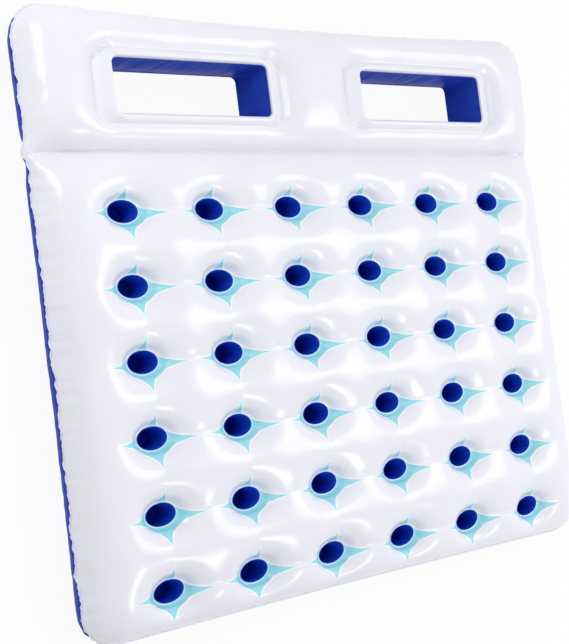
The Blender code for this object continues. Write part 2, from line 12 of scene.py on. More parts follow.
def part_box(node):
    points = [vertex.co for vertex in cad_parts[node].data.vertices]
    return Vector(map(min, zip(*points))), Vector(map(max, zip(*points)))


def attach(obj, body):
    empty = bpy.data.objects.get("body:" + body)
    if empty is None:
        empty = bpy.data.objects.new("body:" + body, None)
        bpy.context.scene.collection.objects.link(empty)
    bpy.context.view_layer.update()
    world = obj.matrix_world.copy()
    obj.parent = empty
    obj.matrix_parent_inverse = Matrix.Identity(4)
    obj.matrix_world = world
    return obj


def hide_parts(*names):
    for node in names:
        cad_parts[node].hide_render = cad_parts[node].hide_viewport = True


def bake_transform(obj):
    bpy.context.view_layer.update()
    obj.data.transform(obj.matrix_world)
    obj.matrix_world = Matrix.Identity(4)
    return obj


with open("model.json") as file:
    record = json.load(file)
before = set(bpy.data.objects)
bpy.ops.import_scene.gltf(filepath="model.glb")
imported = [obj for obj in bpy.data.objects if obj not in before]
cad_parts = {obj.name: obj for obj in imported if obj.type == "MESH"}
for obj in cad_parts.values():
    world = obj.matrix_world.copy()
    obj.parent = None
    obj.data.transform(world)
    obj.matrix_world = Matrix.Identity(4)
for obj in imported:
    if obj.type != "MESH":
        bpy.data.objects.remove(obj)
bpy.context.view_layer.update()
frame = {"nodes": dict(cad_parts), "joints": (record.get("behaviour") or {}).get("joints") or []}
mm = 0.001
quarterTurn = math.pi / 2
fullTurn = 2 * math.pi
rowCount = 6
columnCount = 6


def nodeBox(name):
    low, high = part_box(name)
    return np.array(low), np.array(high)


def nodeCentre(name):
    low, high = nodeBox(name)
    return (low + high) / 2


def frameJoint(name):
    return next(joint for joint in frame["joints"] if joint["name"] == name)


bedLow, bedHigh = nodeBox("bed_top_sheet")
pillowHigh = nodeBox("pillow_top_sheet")[1]
liningLow, liningHigh = nodeBox("window_lining_right")
creaseY, seamZ = nodeCentre("pillow_crease_weld")[1:]
windowX, windowY = nodeCentre("window_lining_right")[:2]
firstCentre = nodeCentre("pocket_sleeve_r1c1")
lastCentre = nodeCentre("pocket_sleeve_r6c6")
columnPitch = (lastCentre[0] - firstCentre[0]) / (columnCount - 1)
rowPitch = (firstCentre[1] - lastCentre[1]) / (rowCount - 1)
columnX = firstCentre[0] + columnPitch * np.arange(columnCount)
rowY = firstCentre[1] - rowPitch * np.arange(rowCount)

# Outline and heights of the two chambers, as the frame has them
chambers = {
    "seamInsetX": 4.1 * mm,  # seam line inside the frame's widest point
    "seamInsetHead": 1.55 * mm,
    "seamInsetFoot": 4.75 * mm,
    "cornerRadius": 85 * mm,
    "flange": 5 * mm,
    "bedHeight": 163 * mm,
    "crownDrop": 12 * mm,
    "sideDrawIn": 8 * mm,  # the air draws the edges in, most at the middle of each
    "footDrawIn": 6 * mm,
    "headDrawIn": 20 * mm,
    "drawInReach": 95 * mm,
    "footMargin": 34 * mm,  # plain film between the seam and the foot row's cells
    "underPinch": 0.55,  # the blue film leaves the weld at a slant
    "underPinchReach": 38 * mm,
}

# The welded crease between bed and pillow
crease = {
    "half": 1.5 * mm,
    "stop": 21 * mm,  # the weld stops this far in from each side
    "fold": 23 * mm,  # the films meet again this far from the weld and hide it
    "endFold": 7 * mm,
    "endReach": 110 * mm,
    "gather": 0.06,  # past its ends the films are still drawn together
    "gatherWidth": 20 * mm,
    "gatherRise": 7 * mm,
    "gatherFrom": 85 * mm,
    "flare": 13 * mm,  # at its ends the edge isn't drawn in
    "flareWidth": 24 * mm,
    "fade": 50 * mm,  # toward the side, for the gather and the flare
}
cornerRadius = chambers["cornerRadius"]
weldThickness = 0.7 * mm
seamX = bedHigh[0] - chambers["seamInsetX"]
headY = pillowHigh[1] - chambers["seamInsetHead"]
footY = bedLow[1] + chambers["seamInsetFoot"]
bedEdgeY = creaseY - crease["half"]
pillowEdgeY = creaseY + crease["half"]
bedMiddleY = (footY + bedEdgeY) / 2

# The pockets: a mouth in the white film, a gathered sleeve, a floor on the blue film
pocket = {
    "halfX": 42 * mm,
    "halfY": 27 * mm,
    "sink": 42 * mm,
    "lift": 40 * mm,
    "rowLean": (-2, 0, 1, 3, 8, 15),  # degrees, row by row from the pillow
    "land": 1.25,  # the printed ring lies nearly flat round the mouth
    "landRise": 4.0 * mm,
    "gathers": 21,
    "gatherDepth": 0.9 * mm,
    "gatherReach": 13 * mm,
    "gatherEnd": 60 * mm,
    # Tight lines from mouth to mouth: depth, length of the start, run past the last mouth, its end
    "rowLine": (5.0 * mm, 45 * mm, 60 * mm, 70 * mm),
    "columnLine": (0.9 * mm, 30 * mm, 35 * mm, 40 * mm),
    "lineStart": 1.1,  # in half mouths
    "lineWidth": 14 * mm,
    "rings": 20,  # of the mesh round a mouth, closer together next to it
    "ringCrowding": 1.35,
    "floorRings": (0.9, 0.7, 0.45, 0.2, 0.02),
}
mouthX, mouthY = pocket["halfX"], pocket["halfY"]

# The windows through the pillow, each in a padded lip
rimInset = 0.4 * mm  # the film's rim lies this far inside the lining's widest point
window = {
    "halfX": (liningHigh[0] - liningLow[0]) / 2 - rimInset,
    "halfY": (liningHigh[1] - liningLow[1]) / 2 - rimInset,
    "corner": 17 * mm,
    "lip": 23 * mm,
    "endShare": 2.05,  # the lip is wider at the short ends
    "endBlend": 40 * mm,
    "land": 36 * mm,
    "rimZ": 145 * mm,
    "creaseZ": 138.5 * mm,  # fold line round the lip, along the long sides
    "creaseEndZ": 124 * mm,  # it lies deeper at the short ends
    "lipBulge": 6.5 * mm,
    "endFlatness": 0.6,
    "bulgeLean": 0.8,  # under 1, the lip is fullest near the rim
    "rimTurn": 1.8 * mm,  # the film turns over the rim into the opening
    "rimTurnDrop": 5 * mm,
    "underRimZ": 6 * mm,
    "underCreaseZ": 9 * mm,
    "underBulge": 5 * mm,
    "lipRings": 12,
    "landRings": 7,
    "turnRings": (0.4, 0.75, 1.0),
}
openX, openY = window["halfX"], window["halfY"]

# Puckers where the films are welded
puckers = {
    "seam": (27 * mm, 2.6 * mm, 26 * mm),  # spacing, depth and reach
    "fine": (0.45, 0.45, 0.4),  # a finer set between them, in shares of these
    "crease": (19 * mm, 1.9 * mm, 24 * mm),
    "creaseStart": 5 * mm,
    "creaseEnd": 60 * mm,
    "shift": 0.38,  # of a dart from its even place, in spacings
    "lean": 0.25,
    "spread": 0.16,
    "widening": 0.20,
    "mouthSpread": 0.22,
    "slack": 0.7 * mm,  # broad unevenness of an inflated film
    "slackWaves": np.linspace(90, 260, 9) * mm,
    "slackFrom": (50 * mm, 40 * mm, 30 * mm, 0.8),  # seam, crease and lip; mouth, in half mouths
}


def clip01(value):
    return np.clip(value, 0.0, 1.0)


def smoothStep(value):
    part = clip01(value)
    return part * part * (3.0 - 2.0 * part)


def linearColour(hexText):
    channels = [int(hexText[k:k + 2], 16) / 255 for k in (1, 3, 5)]
    linear = [c / 12.92 if c <= 0.04045 else ((c + 0.055) / 1.055) ** 2.4 for c in channels]
    return (*linear, 1.0)


# How far a point lies past its corner's centre, across and along, then that centre and which end.
def cornerSteps(x, y):
    end = np.where(y > creaseY, 1.0, -1.0)
    startX = seamX - cornerRadius
    startY = np.where(y > creaseY, headY - cornerRadius, footY + cornerRadius)
    p, q = np.maximum(np.abs(x) - startX, 0.0), np.maximum((y - startY) * end, 0.0)
    return p, q, startX, startY, end


# Angle round a corner for a place on the square that it is bent from, and whether it is in one.
def cornerTurn(p, q):
    turn = math.pi / 4 * np.minimum(p, q) / np.maximum(np.maximum(p, q), 1e-9)
    return np.where(p >= q, turn, quarterTurn - turn), (p > 0) & (q > 0)


def roundCorners(x, y):
    radius = cornerRadius + chambers["flange"]
    p, q, startX, startY, end = cornerSteps(x, y)
    p, q = p / radius, q / radius
    angle, inCorner = cornerTurn(p, q)
    ring = np.maximum(p, q) * radius
    newX = np.where(inCorner, startX + ring * np.cos(angle), np.abs(x))
    newY = np.where(inCorner, startY + end * ring * np.sin(angle), y)
    return np.sign(x) * newX, newY


def drawIn(x, y):
    far = np.abs(x)
    fromMiddle = (y - (headY + footY) / 2) / ((headY - footY) / 2)
    middle = 1.0 - np.minimum(1.0, fromMiddle ** 2)
    reach = chambers["drawInReach"]
    drawn = far - chambers["sideDrawIn"] * middle * clip01((far - seamX + reach) / reach)
    waist = 1.0 - np.minimum(1.0, (drawn / seamX) ** 2)
    headRoom = headY - windowY - openY - window["lip"] - window["land"]
    footRoom = chambers["footMargin"]
    headShift = -chambers["headDrawIn"] * waist * clip01((y - headY + headRoom) / headRoom)
    footShift = chambers["footDrawIn"] * waist * clip01((footY + footRoom - y) / footRoom)
    flare = crease["flare"] * np.exp(-((y - creaseY) / crease["flareWidth"]) ** 2)
    drawn += flare * smoothStep((far - seamX + crease["fade"]) / crease["fade"])
    return np.sign(x) * drawn, y + np.where(y > creaseY, headShift, footShift)


# Distance in from the seam, place along it and its whole length, for points near the edge. The
# second half of the way round is the first half turned about the middle.
def edgePlace(x, y):
    p, q, startX = cornerSteps(x, y)[:3]
    angle, corner = cornerTurn(p, q)
    sideGap = seamX - np.abs(x)
    endGap = np.where(y > creaseY, headY - y, y - footY)
    bySide = (sideGap < endGap) & ~corner
    low, high = footY + cornerRadius, headY - cornerRadius
    straight, arc, run = high - low, quarterTurn * cornerRadius, 2 * startX
    turned = np.where(bySide, x <= 0, y <= creaseY)
    x, y = np.where(turned, -x, x), np.where(turned, low + high - y, y)
    along = np.select(
        [corner & (x > 0), corner, bySide],
        [straight + angle * cornerRadius, straight + 2 * arc + run - angle * cornerRadius, y - low],
        straight + arc + startX - x)
    half = straight + 2 * arc + run
    return np.minimum(sideGap, endGap), along + turned * half, 2 * half


# Irregular darts that start on a weld and fade with distance from it.
def darts(along, away, total, spacing, depth, reach, seed, spread=puckers["spread"]):
    count = max(3, int(round(total / spacing)))
    random = np.random.default_rng(seed)
    shift = random.uniform(-puckers["shift"], puckers["shift"], count)
    size = random.uniform(0.25, 1.0, count) ** 1.3
    lean = random.uniform(-puckers["lean"], puckers["lean"], count)
    step = total / count
    cell = np.floor(along / step).astype(int)
    value = np.zeros_like(along)
    for k in (-1, 0, 1):
        n = (cell + k) % count
        centre = (cell + k + 0.5 + shift[n]) * step + lean[n] * away
        width = step * spread * (0.6 + size[n]) + puckers["widening"] * away
        value += size[n] * np.exp(-(((along - centre) / width) ** 2))
    return -depth * value * np.exp(-away / reach)


def periodicWave(along, total, waves, seed):
    random = np.random.default_rng(seed)
    value = np.zeros_like(along)
    for wave in waves:
        count = max(1, round(total / wave))
        tall = random.uniform(0.5, 1.0)
        value += tall * np.sin(fullTurn * (along / total * count + random.uniform(0, 1)))
    return value / len(waves)


# Broad, slow unevenness over a film.
def slackField(x, y, seed):
    random = np.random.default_rng(seed)
    waves = puckers["slackWaves"]
    value = np.zeros_like(x)
    for wave in waves:
        angle = random.uniform(0, fullTurn)
        phase = random.uniform(0, fullTurn)
        value += np.sin(fullTurn * (x * math.cos(angle) + y * math.sin(angle)) / wave + phase)
    return value / math.sqrt(len(waves))


# Column and row of the nearest pocket.
def cellNumbers(x, y):
    column = np.clip(np.round((x - columnX[0]) / columnPitch), 0, columnCount - 1)
    row = np.clip(np.round((rowY[0] - y) / rowPitch), 0, rowCount - 1)
    return column.astype(int), row.astype(int)


def cellPlace(x, y):
    column, row = cellNumbers(x, y)
    return x - columnX[column], y - rowY[row]


# Distance from the nearest pocket's centre, 1 on its mouth.
def ovalShare(x, y):
    u, v = cellPlace(x, y)
    return np.sqrt((u / mouthX) ** 2 + (v / mouthY) ** 2)


# The mouths lean a little with the bed's crown, and the last rows lean to the foot.
def mouthZ(x, y):
    row = cellNumbers(x, y)[1]
    centreY = rowY[row]
    along = (centreY - bedMiddleY) / (bedEdgeY - bedMiddleY)
    level = chambers["bedHeight"] - chambers["crownDrop"] * along * along - pocket["sink"]
    lean = np.tan(np.radians(np.array(pocket["rowLean"])))[row]
    return level + lean * (y - centreY)


# Drop of the upper film along the tight lines that run out from each mouth.
def tautLines(x, y):
    u, v = np.abs(cellPlace(x, y))
    pastColumns = np.abs(x) - columnX[-1]
    pastRows = np.maximum(y - rowY[0], rowY[-1] - y)
    drop = 0.0
    for out, off, half, past, line in (
            (u, v, mouthX, pastColumns, pocket["rowLine"]),
            (v, u, mouthY, pastRows, pocket["columnLine"])):
        depth, start, runOn, end = line
        along = smoothStep((out - pocket["lineStart"] * half) / start)
        along *= 1.0 - smoothStep((past - runOn) / end)
        drop = drop + depth * along * np.exp(-(off / pocket["lineWidth"]) ** 1.3)
    return np.where(y < creaseY, drop, 0.0)


# How far from the seam's level a film lies on a pocket's flat ring.
def ringRise(x, y, upper):
    if not upper:
        return np.full_like(x, seamZ - pocket["lift"])
    out = clip01((ovalShare(x, y) - 1.0) / (pocket["land"] - 1.0))
    return mouthZ(x, y) - seamZ + pocket["landRise"] * out * out


# Distance out from a window's rim, in a measure where the lip is equally wide all round.
def rimGap(x, y):
    across = np.abs(np.abs(x) - windowX) - openX
    across = np.where(across > 0, across / window["endShare"], across)
    a = across + window["corner"]
    b = np.abs(y - windowY) - openY + window["corner"]
    return np.hypot(np.maximum(a, 0), np.maximum(b, 0)) + np.minimum(np.maximum(a, b), 0) - window["corner"]


# 0 along a window's long sides, 1 round its short ends.
def windowEnd(x):
    across = np.abs(np.abs(x) - windowX)
    return smoothStep((across - openX + window["endBlend"] / 2) / window["endBlend"])


def lipCreaseZ(x):
    return window["creaseZ"] + (window["creaseEndZ"] - window["creaseZ"]) * windowEnd(x)


def lipRise(x, upper):
    return lipCreaseZ(x) - seamZ if upper else seamZ - window["underCreaseZ"]


# The blown-up films. Height over the seam, squared, obeys a stretched sheet's equation: it is held
# at welds, mouths and lips, and rises to the chamber's own height over a settling length. The square
# root gives rolls that stand upright on their welds, as a blown tube does.
blown = {
    "step": 2.5 * mm,
    "rounds": 140,
    "push": 1.72,
    "firstGuess": 0.6,
    # Of the bed's and the pillow's top and of the underside: settling length, height it makes for
    "run": (95 * mm, 42 * mm, 26 * mm),
    "goal": (107 * mm, 88 * mm, 100 * mm),
    "rowStiffness": 0.32,  # the film pulls harder along the rows than across them
    "stiffPastX": (110 * mm, 60 * mm),  # reach past the last mouths, and length of its end
    "stiffPastY": (80 * mm, 50 * mm),
    "skin": 6 * mm,  # next to a weld the squared height runs straight
    "mouthSkin": 1.22,
}


# Where a film is held, and its squared height there.
def heldPlaces(x, y, upper):
    p, q = cornerSteps(x, y)[:2]
    outside = np.hypot(p, q) >= cornerRadius
    toEnd = seamX - crease["stop"] - np.abs(x)
    weld = (np.abs(y - creaseY) < blown["step"] / 2) & (toEnd > 0)
    mouth = (ovalShare(x, y) <= pocket["land"]) & (y < creaseY)
    lip = (rimGap(x, y) <= window["lip"]) & (y > creaseY)
    deeper = np.exp(-np.maximum(toEnd, 0.0) / crease["endReach"])
    foldRise = crease["fold"] + (crease["endFold"] - crease["fold"]) * deeper
    rises = [0.0, foldRise, ringRise(x, y, upper), lipRise(x, upper)]
    squared = np.select([outside, weld, mouth, lip], rises, 0.0) ** 2
    return outside | weld | mouth | lip, squared


# Solves one half of a film on a square grid, red and black nodes by turns.
def blowFilm(upper):
    step = blown["step"]
    gridX = np.arange(0, seamX + 2 * step, step)
    lowRows = int(math.ceil((creaseY - footY) / step)) + 1
    highRows = int(math.ceil((headY - creaseY) / step)) + 1
    gridY = creaseY + step * np.arange(-lowRows, highRows + 1)
    x, y = np.meshgrid(gridX, gridY, indexing="ij")
    held, value = heldPlaces(x, y, upper)
    inBed = y < creaseY
    run, goal = (
        np.where(inBed, bed, pillow) if upper else under
        for bed, pillow, under in (blown["run"], blown["goal"]))
    gather = smoothStep((x - seamX + crease["gatherFrom"]) / crease["fade"])
    gather *= crease["gather"] * np.exp(-(((y - creaseY) / crease["gatherWidth"]) ** 2))
    pull = (step / run) ** 2
    share = 1.0 / (4.0 + pull + gather)
    source = pull * goal ** 2 + gather * crease["gatherRise"] ** 2
    (pastX, endX), (pastY, endY) = blown["stiffPastX"], blown["stiffPastY"]
    field = smoothStep((columnX[-1] + pastX - x) / endX) * smoothStep((rowY[0] + pastY - y) / endY)
    across = 1.0 + blown["rowStiffness"] * field
    squared = np.where(held, value, goal ** 2 * blown["firstGuess"])
    i, j = np.indices(x.shape)
    colours = [(~held & ((i + j) % 2 == k)) * blown["push"] for k in (0, 1)]
    for colour in colours * blown["rounds"]:
        around = np.empty_like(squared)
        around[1:-1] = squared[2:] + squared[:-2]
        around[0] = 2 * squared[1]
        around[-1] = 2 * squared[-2]
        around *= across
        around[:, 1:-1] += (2.0 - across[:, 1:-1]) * (squared[:, 2:] + squared[:, :-2])
        squared += colour * ((around + source) * share - squared)
        if not upper:
            np.minimum(squared, seamZ ** 2, out=squared)
    return gridX, gridY, squared


def sampleGrid(grid, x, y):
    gridX, gridY, value = grid
    a = np.clip((np.abs(x) - gridX[0]) / blown["step"], 0, len(gridX) - 1.001)
    b = np.clip((y - gridY[0]) / blown["step"], 0, len(gridY) - 1.001)
    i, j = a.astype(int), b.astype(int)
    a, b = a - i, b - j
    low = value[i, j] * (1 - a) + value[i + 1, j] * a
    high = value[i, j + 1] * (1 - a) + value[i + 1, j + 1] * a
    return low * (1 - b) + high * b


# Squared height of a film. Near what holds it, the place is moved out to the grid's sound nodes and
# the value runs straight back, so that round edges come out smooth.
def squaredHeight(grid, x, y, upper):
    skin = blown["skin"]
    p, q, startX, startY, end = cornerSteps(x, y)
    far = np.hypot(p, q)
    away = cornerRadius - far
    inward = np.where(away < skin, (cornerRadius - skin) / np.maximum(far, 1e-9), 1.0)
    side = np.where(x < 0, -1.0, 1.0)
    atX = np.where(p > 0, side * (startX + p * inward), x)
    atY = np.where(q > 0, startY + end * q * inward, y)
    offWeld = np.maximum(np.abs(atY - creaseY) - crease["half"], 0.0)
    atY = creaseY + np.where(atY < creaseY, -offWeld, offWeld)
    oval = np.maximum(ovalShare(x, y) / pocket["land"], 1e-6)
    inBed = y < creaseY
    nearMouth = inBed & (oval < blown["mouthSkin"])
    u, v = cellPlace(x, y)
    grow = np.where(nearMouth, blown["mouthSkin"] / oval, 1.0)
    atX = np.where(nearMouth, x - u + u * grow, atX)
    atY = np.where(nearMouth, y - v + v * grow, atY)
    gap = rimGap(x, y) - window["lip"]
    nearLip = ~inBed & (gap < skin)
    probe = 1 * mm
    slopeX = (rimGap(x + probe, y) - rimGap(x - probe, y)) / (2 * probe)
    slopeY = (rimGap(x, y + probe) - rimGap(x, y - probe)) / (2 * probe)
    steep = np.maximum(slopeX ** 2 + slopeY ** 2, 1e-3)
    atX = np.where(nearLip, x + slopeX / steep * (skin - gap), atX)
    atY = np.where(nearLip, y + slopeY / steep * (skin - gap), atY)
    squared = sampleGrid(grid, atX, atY)
    mouthRise = ringRise(x, y, upper) ** 2
    creaseRise = lipRise(x, upper) ** 2
    outOfMouth = clip01(np.log(np.maximum(oval, 1.0)) / math.log(blown["mouthSkin"]))
    squared = np.where(nearMouth, mouthRise + (squared - mouthRise) * outOfMouth, squared)
    squared = np.where(nearLip, creaseRise + (squared - creaseRise) * clip01(gap / skin), squared)
    return np.maximum(squared * clip01(away / skin), 0.0)


# Across a lip, from where the film turns over the rim to the crease line outside.
def lipZ(x, y, rimZ, outerZ, bulge):
    gap = rimGap(x, y)
    t = clip01(gap / window["lip"])
    turned = window["rimTurnDrop"] * clip01(-gap / window["rimTurn"]) ** 2
    full = bulge * np.sin(math.pi * t ** window["bulgeLean"])
    return rimZ + (outerZ - rimZ) * t + full - np.sign(bulge) * turned


def filmZ(grid, x, y, upper):
    height = np.sqrt(squaredHeight(grid, x, y, upper))
    onLip = (y > creaseY) & (rimGap(x, y) < window["lip"])
    if upper:
        bulge = window["lipBulge"] * (1.0 - window["endFlatness"] * windowEnd(x))
        lip = lipZ(x, y, window["rimZ"], lipCreaseZ(x) + weldThickness, bulge)
        return np.where(onLip, lip, seamZ + weldThickness + height - tautLines(x, y))
    inside = smoothStep(edgePlace(x, y)[0] / chambers["underPinchReach"])
    height *= chambers["underPinch"] + (1.0 - chambers["underPinch"]) * inside
    lip = lipZ(x, y, window["underRimZ"], window["underCreaseZ"] - weldThickness, -window["underBulge"])
    return np.where(onLip, np.maximum(lip, 0.0), seamZ - weldThickness - height)


# Mesh lines of a film: a lattice whose cells are filled by rings that run in to a mouth or a window
lattice = {
    "cellParts": 24,
    "topReach": 88 * mm,  # from the top row of mouths to the edge of its cells
    "roll": 65 * mm,  # plan width of the rounded edge, with closer lines
    "rollParts": 13,
    "footRoll": 110 * mm,
    "footParts": 17,
    "plateauParts": 4,
    "slopeParts": 12,
    "riseParts": 8,
    "windowParts": 24,
    "closest": 2 * mm,
}


# Distances in from an edge, closer together next to it.
def rollGaps(width, parts):
    return width * (1.0 - np.cos(np.linspace(0, quarterTurn, parts + 1)))


def filmLines():
    parts, closest = lattice["cellParts"], lattice["closest"]
    reach = columnPitch / 2
    roll = rollGaps(lattice["roll"], lattice["rollParts"])
    plateau = np.linspace(lattice["roll"], seamX - columnX[-1] - reach, lattice["plateauParts"] + 1)
    strip = np.concatenate([roll, plateau[1:-1]])
    inner = np.linspace(columnX[0] - reach, columnX[-1] + reach, parts * columnCount + 1)
    xs = np.concatenate([-seamX + strip, inner, (seamX - strip)[::-1]])
    foot = rollGaps(lattice["footRoll"], lattice["footParts"])
    foot = foot[foot < chambers["footMargin"] - closest]
    topCell = rowY[0] + lattice["topReach"]
    stops = [footY + chambers["footMargin"], *rowY[::-1], topCell]
    counts = [parts // 2] + [parts] * (rowCount - 1) + [parts // 2]
    rows = [np.linspace(low, high, n + 1)[1:] for low, high, n in zip(stops, stops[1:], counts)]
    slope = bedEdgeY - rollGaps(bedEdgeY - topCell, lattice["slopeParts"])[-2:0:-1]
    weldLines = [bedEdgeY, creaseY, pillowEdgeY]
    cellLow = windowY - openY - window["lip"] - window["land"]
    cellHigh = windowY + openY + window["lip"] + window["land"]
    rise = pillowEdgeY + rollGaps(cellLow - pillowEdgeY, lattice["riseParts"])[1:-1]
    windowLines = np.linspace(cellLow, cellHigh, lattice["windowParts"] + 1)
    head = headY - roll[roll < headY - cellHigh - closest][::-1]
    ys = np.concatenate([footY + foot, stops[:1], *rows, slope, weldLines, rise, windowLines, head])
    windowRow = len(foot) + parts * rowCount + 1 + len(slope) + len(weldLines) + len(rise)
    return xs, ys, len(strip), len(foot), windowRow


def blockBorder(i0, i1, j0, j1):
    low = [(i, j0) for i in range(i0, i1)]
    right = [(i1, j) for j in range(j0, j1)]
    high = [(i, j1) for i in range(i1, i0, -1)]
    left = [(i0, j) for j in range(j1, j0, -1)]
    return np.array(low + right + high + left)


def latticePoints(xs, ys, border):
    return np.stack([xs[border[:, 0]], ys[border[:, 1]]], 1)


def sheetMesh(xs, ys, cells):
    nx, ny = len(xs), len(ys)
    points = [np.stack(np.meshgrid(xs, ys, indexing="ij"), -1).reshape(-1, 2)]
    inside = np.zeros((nx - 1, ny - 1), bool)
    for (i0, i1, j0, j1), _ in cells:
        inside[i0:i1, j0:j1] = True
    i, j = np.nonzero(~inside)
    quads = [np.stack([i * ny + j, (i + 1) * ny + j, (i + 1) * ny + j + 1, i * ny + j + 1], 1)]
    count = nx * ny
    for block, makeRings in cells:
        border = blockBorder(*block)
        outer = border[:, 0] * ny + border[:, 1]
        for ring in makeRings(latticePoints(xs, ys, border)):
            inner = count + np.arange(len(outer))
            points.append(ring)
            quads.append(np.stack([outer, np.roll(outer, -1), np.roll(inner, -1), inner], 1))
            outer = inner
            count += len(outer)
    used, quads = np.unique(np.concatenate(quads), return_inverse=True)
    return np.concatenate(points)[used], quads.reshape(-1, 4)


# Places on the unit square for the points of a cell's border.
def squarePlace(border, centre):
    offset = border - centre
    reach = np.where(offset > 0, offset.max(0), -offset.min(0))
    return (offset / reach).T


def mouthOval(angle):
    return np.stack([mouthX * np.cos(angle), mouthY * np.sin(angle)], 1)


# Rings from a cell's border in to a pocket's mouth, and over its floor where the film is closed.
def mouthRings(centre, closed, border):
    p, q = squarePlace(border, centre)
    mouth = centre + mouthOval(np.arctan2(q, p))
    shares = (np.arange(pocket["rings"] - 1, -1, -1) / pocket["rings"]) ** pocket["ringCrowding"]
    rings = [mouth + (border - mouth) * share for share in shares]
    if closed:
        rings += [centre + (mouth - centre) * share for share in pocket["floorRings"]]
    return rings


# A point on a rounded rectangle for a point on the unit square's border.
def roundedPoints(p, q, halfX, halfY, radius):
    result = np.zeros((len(p), 2))
    for order, main, other, long, wide in ((1, p, q, halfX, halfY), (-1, q, p, halfY, halfX)):
        pick = np.abs(other) >= np.abs(main) - 1e-9
        straight = long - radius
        distance = np.abs(main) * (straight + radius * math.pi / 4)
        angle = np.maximum(distance - straight, 0.0) / radius
        along = np.minimum(distance, straight) + radius * np.sin(angle)
        off = wide - radius + radius * np.cos(angle)
        made = np.stack([np.sign(main) * along, np.sign(other) * off], 1)
        result[pick] = made[pick, ::order]
    return result


# Rings from a cell's border in over a window's lip and round its rim.
def windowRings(centre, border):
    p, q = squarePlace(border, centre)

    def ringAt(out, endShare=1.0):
        return centre + roundedPoints(
            p, q, openX + out * endShare, openY + out, window["corner"] + out)

    count = window["lipRings"]
    outs = [window["lip"] * (1 - math.cos(math.pi * k / count)) / 2 for k in range(count, -1, -1)]
    lip = [ringAt(out, window["endShare"]) for out in outs]
    shares = np.linspace(1, 0, window["landRings"] + 1)[1:-1]
    land = [lip[0] + (border - lip[0]) * share for share in shares]
    return land + lip + [ringAt(-share * window["rimTurn"]) for share in window["turnRings"]]


def filmCells(closed):
    xs, ys, firstColumn, firstRow, windowRow = filmLines()
    parts = lattice["cellParts"]
    cells = []
    for row, column in np.ndindex(rowCount, columnCount):
        i, j = firstColumn + parts * column, firstRow + parts * (rowCount - 1 - row)
        centre = np.array([columnX[column], rowY[row]])
        cells.append(((i, i + parts, j, j + parts), partial(mouthRings, centre, closed)))
    middle = len(xs) // 2
    reach = openX + window["lip"] * window["endShare"] + window["land"]
    for side in (-1, 1):
        ends = [int(round((windowX + way * reach) / (columnPitch / parts))) for way in (-1, 1)]
        i0, i1 = sorted(middle + side * end for end in ends)
        centre = np.array([side * windowX, windowY])
        block = (i0, i1, windowRow, windowRow + lattice["windowParts"])
        cells.append((block, partial(windowRings, centre)))
    return xs, ys, cells


def vertexNormals(points, quads):
    a, b, c, d = (points[quads[:, k]] for k in range(4))
    faceNormal = np.cross(c - a, d - b)
    total = np.zeros_like(points)
    np.add.at(total, quads, faceNormal[:, None])
    return total / np.maximum(np.linalg.norm(total, axis=1, keepdims=True), 1e-12)


# All the small puckers of a film, as a distance along its normal.
def filmPuckers(x, y, seed):
    away, along, total = edgePlace(x, y)
    lift = darts(along, away, total, *puckers["seam"], seed)
    lift += darts(along, away, total, *np.multiply(puckers["seam"], puckers["fine"]), seed + 1)
    inBed = y < creaseY
    gap = np.maximum(np.where(inBed, bedEdgeY - y, y - pillowEdgeY), 0.0)
    alongCrease = x + seamX + np.where(inBed, 0.0, 5.0)  # the two sides' darts differ
    crossed = darts(alongCrease, gap, 2 * seamX, *puckers["crease"], seed + 2)
    crossed *= clip01((seamX - np.abs(x)) / puckers["creaseEnd"])
    lift += crossed * smoothStep(gap / puckers["creaseStart"])
    oval = ovalShare(x, y)
    mouthAway = np.maximum(oval - 1.0, 0.0) * mouthY
    u, v = cellPlace(x, y)
    around = fullTurn * mouthX
    turn = (np.arctan2(v / mouthY, u / mouthX) / fullTurn) % 1.0
    column, row = cellNumbers(x, y)
    near = inBed & (mouthAway < pocket["gatherEnd"])
    for k in range(rowCount * columnCount):
        pick = near & (row * columnCount + column == k)
        lift[pick] += darts(
            turn[pick] * around, mouthAway[pick], around, around / pocket["gathers"],
            pocket["gatherDepth"], pocket["gatherReach"], seed + 11 + k, puckers["mouthSpread"])
    fromSeam, fromCrease, fromLip, fromMouth = puckers["slackFrom"]
    offLip = smoothStep((rimGap(x, y) - window["lip"]) / fromLip)
    slack = puckers["slack"] * slackField(x, y, seed + 5) * np.where(inBed, 1.0, offLip)
    slack = slack * smoothStep(away / fromSeam) * smoothStep(gap / fromCrease)
    return lift + slack * smoothStep((oval - 1) / fromMouth + ~inBed)


# The welded edge all round, where both films meet
seam = {
    "wave": 7.0 * mm,  # it waves up and down along the sides
    "waves": np.array([120, 74, 47, 31]) * mm,
    "spike": 9 * mm,
    "spikeSpacing": 24 * mm,
    "spikeWidth": (5, 9),  # mm
    "waveReach": 16 * mm,
    "endShare": 0.08,  # head and foot are pulled nearly straight
    "endReach": 60 * mm,
    "endBlend": 55 * mm,
    "halfWidth": 2.7 * mm,
    "halfThick": 0.9 * mm,
    "overlap": 1.0 * mm,
    "unevenness": (0.05, 0.35),  # of its width at head and foot, and what the sides add
    "unevenWaves": np.array([36, 23, 14]) * mm,
    "facets": 8,
    "still": 0.5 * mm,  # the films have no puckers in the weld itself
}


# 1 along the two long sides, 0 along most of head and foot.
def onSide(x):
    return smoothStep((np.abs(x) - seamX + seam["endReach"]) / seam["endBlend"])


